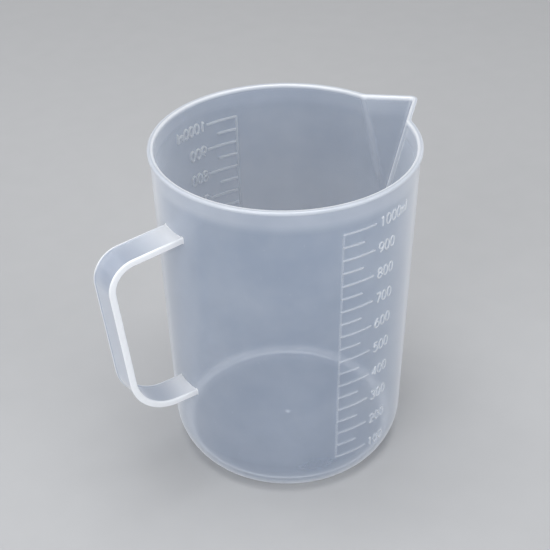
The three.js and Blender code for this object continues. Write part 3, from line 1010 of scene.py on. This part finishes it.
def scale_parts(ladder):
    """The upright line and every mark of one scale."""
    low, high = scale_heights[0] - MARK_WIDTH / 2, scale_heights[-1] + MARK_WIDTH / 2
    parts = [stroke(np.array(((0, low), (0, high))), ladder, 0, MARK_WIDTH, MARK_RELIEF)]
    for level, z in zip(scale_levels, scale_heights):
        length = LONG_MARK if level % LONG_EVERY == 0 else SHORT_MARK
        parts.append(stroke(np.array(((0, 0), (length, 0))), ladder, z, MARK_WIDTH, MARK_RELIEF))
    return parts


def fading(parts, strength):
    """The share of milk at each point: the marks are fainter lower down."""
    z = np.concatenate([points[:, 2] for points, _, _ in parts])
    return strength * (FAINTEST + (1 - FAINTEST) * smooth_step(scale_heights[0], scale_heights[-1], z))


def make_scale(name, ladder, strength, line_share):
    """One scale as a piece that stands for its CAD node. The upright line is the fainter part."""
    parts = scale_parts(math.radians(ladder))
    counts = [len(points) for points, _, _ in parts]
    share = MARK_MILK * np.repeat([line_share] + [1] * (len(parts) - 1), counts)
    piece = make_piece(name, parts, raised_marks, milk=share * fading(parts, strength))
    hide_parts(name)


make_scale("front_scale", FRONT_LADDER, FRONT_STRENGTH, FRONT_LINE)
make_scale("rear_scale", FRONT_LADDER + LADDER_SPACING, REAR_MILK_AND_LIGHT, REAR_LINE_AND_LIGHT)

# %% [markdown]
# ## Numerals
#
# A number stands after each long mark, and the top one has its unit. Figures in a mould are cut
# with a round cutter, like the marks, only finer. So each one is drawn here as a few strokes,
# straight or along an ellipse, in a box 0.6 wide and 1 tall.

# %% Figures made of strokes
UNIT = "ml"
FIGURE_PITCH = 3.25
FIGURE_HEIGHT = 4.6
FIGURE_STRETCH = 0.87      # narrows the box that the figures are drawn in
FIGURE_STROKE = 0.7
FIGURE_RELIEF = 0.35
FRONT_GAP = 2.05           # from the end of a long mark to its number
REAR_GAP = 0.9
NUMERAL_LIFT = -0.2        # of the middle of a figure above its mark
LINE_STEPS = 4
BOW_STEPS = 20


def line(*corners):
    """Straight strokes from corner to corner."""
    ends = np.array(corners, float).reshape(-1, 2)
    share = np.linspace(0, 1, LINE_STEPS)[:, None]
    return [a + (b - a) * share for a, b in zip(ends[:-1], ends[1:])]


def bow(x, y, width, height, start, end):
    """One stroke along an ellipse, given its middle, its half sizes and two angles in degrees."""
    turn = np.radians(np.linspace(start, end, BOW_STEPS))
    return [np.stack((x + width * np.cos(turn), y + height * np.sin(turn)), axis=-1)]


ROUND = 380                # a closed ellipse runs a little past its start
six = bow(0.3, 0.31, 0.3, 0.31, 0, ROUND) + bow(0.62, 0.31, 0.62, 0.69, 180, 108)
FIGURES = {
    "0": bow(0.3, 0.5, 0.3, 0.5, 0, ROUND),
    "1": line(0.1, 0.8, 0.32, 1, 0.32, 0),
    "2": bow(0.3, 0.72, 0.28, 0.28, 165, -35) + line(0.53, 0.56, 0.02, 0, 0.6, 0),
    "3": bow(0.28, 0.75, 0.26, 0.25, 160, -90) + bow(0.28, 0.25, 0.3, 0.25, 90, -160),
    "4": line(0.46, 0, 0.46, 1, 0, 0.3, 0.6, 0.3),
    "5": line(0.55, 1, 0.1, 1, 0.06, 0.55) + bow(0.28, 0.33, 0.3, 0.33, 138, -150),
    "6": six,
    "7": line(0, 1, 0.6, 1, 0.2, 0),
    "8": bow(0.3, 0.76, 0.25, 0.24, 0, ROUND) + bow(0.3, 0.26, 0.3, 0.26, 0, ROUND),
    "9": [(0.6, 1) - path for path in six],
    "m": line(0, 0, 0, 0.62) + bow(0.17, 0.42, 0.17, 0.2, 180, 0) + line(0.34, 0.42, 0.34, 0)
         + bow(0.51, 0.42, 0.17, 0.2, 180, 0) + line(0.68, 0.42, 0.68, 0),
    "l": line(0.1, 0, 0.1, 1),
}


def make_numerals(name, ladder, strength, gap):
    """Every number of one scale as one piece."""
    size = np.array((FIGURE_STRETCH, 1)) * FIGURE_HEIGHT
    parts = []
    for level, z in zip(scale_levels, scale_heights):
        if level % LONG_EVERY:
            continue
        words = f"{level}{UNIT}" if level == SCALE_LAST else str(level)
        for place, figure in enumerate(words):
            left = LONG_MARK + gap + place * FIGURE_PITCH
            for path in FIGURES[figure]:
                drawn = path * size + (left, NUMERAL_LIFT - FIGURE_HEIGHT / 2)
                parts.append(stroke(drawn, math.radians(ladder), z, FIGURE_STROKE, FIGURE_RELIEF))
    piece = make_piece(name, parts, raised_marks, milk=fading(parts, strength))


make_numerals("front_numerals", FRONT_LADDER, FRONT_STRENGTH, FRONT_GAP)
make_numerals("rear_numerals", FRONT_LADDER + LADDER_SPACING, REAR_MILK_AND_LIGHT, REAR_GAP)

# %% [markdown]
# ## Floor and light
#
# Milky plastic shows best against a plain ground a little darker than itself, under large soft
# lamps: the veil of the wall and the white of its edges then both read. The floor is pale grey.
# The lamps don't reach its far parts, so there it passes into a plain tone, which the eye and
# reflections see but which is no lamp: other rays still find the floor.

# %% Floor
FLOOR_SIZE = 6.0
FLOOR_DROP = 0.0002        # so that the floor and the foot ring aren't one plane
FLOOR_DARK = (0.39, 0.395, 0.405, 1)
FLOOR_LIGHT = (0.41, 0.415, 0.425, 1)
FLOOR_GRAIN = 60
FLOOR_ROUGHNESS = 0.8
FLOOR_SHINE = 0.1
FAR_TONE = (0.5, 0.505, 0.515, 1)
LIT_REACH = 0.45           # metres from the jug where the plain tone begins
FAR_REACH = 1.3            # and where it has taken over


def far_share(nodes, links, place):
    """A share that rises with the distance from the jug, for the eye, for gloss and for glass."""
    distance = nodes.new("ShaderNodeVectorMath")
    distance.operation = "LENGTH"
    links.new(place, distance.inputs[0])
    fade = nodes.new("ShaderNodeMapRange")
    fade.interpolation_type = "SMOOTHSTEP"
    fade.inputs["From Min"].default_value = LIT_REACH
    fade.inputs["From Max"].default_value = FAR_REACH
    links.new(distance.outputs["Value"], fade.inputs["Value"])
    path = nodes.new("ShaderNodeLightPath")
    seen = path.outputs["Is Camera Ray"]
    for ray in ("Is Glossy Ray", "Is Transmission Ray"):
        either = nodes.new("ShaderNodeMath")
        either.operation = "MAXIMUM"
        links.new(seen, either.inputs[0])
        links.new(path.outputs[ray], either.inputs[1])
        seen = either.outputs[0]
    share = nodes.new("ShaderNodeMath")
    share.operation = "MULTIPLY"
    links.new(fade.outputs["Result"], share.inputs[0])
    links.new(seen, share.inputs[1])
    return share.outputs[0]


def floor_material():
    """Pale grey with a very faint grain, and a plain tone far from the jug."""
    material = bpy.data.materials.new("studio_floor")
    material.use_nodes = True
    nodes, links = material.node_tree.nodes, material.node_tree.links
    body = nodes["Principled BSDF"]
    place = nodes.new("ShaderNodeTexCoord")
    grain = nodes.new("ShaderNodeTexNoise")
    grain.inputs["Scale"].default_value = FLOOR_GRAIN
    tone = nodes.new("ShaderNodeMix")
    tone.data_type = "RGBA"
    tone.inputs[6].default_value = FLOOR_DARK
    tone.inputs[7].default_value = FLOOR_LIGHT
    links.new(place.outputs["Object"], grain.inputs["Vector"])
    links.new(grain.outputs["Fac"], tone.inputs["Factor"])
    links.new(tone.outputs[2], body.inputs["Base Color"])
    body.inputs["Roughness"].default_value = FLOOR_ROUGHNESS
    body.inputs["Specular IOR Level"].default_value = FLOOR_SHINE
    plain = nodes.new("ShaderNodeEmission")
    plain.inputs["Color"].default_value = FAR_TONE
    share = far_share(nodes, links, place.outputs["Object"])
    surface = mixed(nodes, links, share, body.outputs[0], plain.outputs[0])
    links.new(surface, nodes["Material Output"].inputs["Surface"])
    return material


half = FLOOR_SIZE / 2
floor_mesh = bpy.data.meshes.new("studio_floor")
corners = ((-half, -half), (half, -half), (half, half), (-half, half))
floor_mesh.from_pydata([(x, y, -FLOOR_DROP) for x, y in corners], [], [(0, 1, 2, 3)])
floor_mesh.materials.append(floor_material())
floor = bpy.data.objects.new("studio_floor", floor_mesh)
bpy.context.scene.collection.objects.link(floor)
print("floor:", FLOOR_SIZE, "m wide")

# %% Lamps and world
LAMPS = {
    "left": ((-1.05, -0.5, 0.45), 0.9, 10.8),
    "right": ((0.55, -1.1, 0.36), 0.9, 8.4),
    "back": ((-0.6, 0.95, 0.7), 0.9, 2.6),
    "top": ((0.0, 0.0, 1.3), 0.9, 11.5),
}
SKY_TINT = (0.97, 0.98, 1.0, 1)
SKY_STRENGTH = 0.42
AIM = Vector((0, 0, 0.07))
CLEAR_BOUNCES = 32         # enough for a ray through both walls, a scale and the handle


def add_lamp(name, place, size, power):
    """A square soft box that faces the jug."""
    lamp = bpy.data.objects.new(name, bpy.data.lights.new(name, "AREA"))
    lamp.data.shape = "SQUARE"
    lamp.data.size = size
    lamp.data.energy = power
    lamp.location = place
    lamp.rotation_euler = (AIM - Vector(place)).to_track_quat("-Z", "Y").to_euler()
    bpy.context.scene.collection.objects.link(lamp)


for lamp_name, (place, size, power) in LAMPS.items():
    add_lamp(lamp_name, place, size, power)
world = bpy.data.worlds.new("studio")
world.use_nodes = True
sky = world.node_tree.nodes["Background"]
sky.inputs["Color"].default_value = SKY_TINT
sky.inputs["Strength"].default_value = SKY_STRENGTH
bpy.context.scene.world = world
bpy.context.scene.view_settings.view_transform = "Standard"
bpy.context.scene.cycles.transparent_max_bounces = CLEAR_BOUNCES
print("lamps:", list(LAMPS))
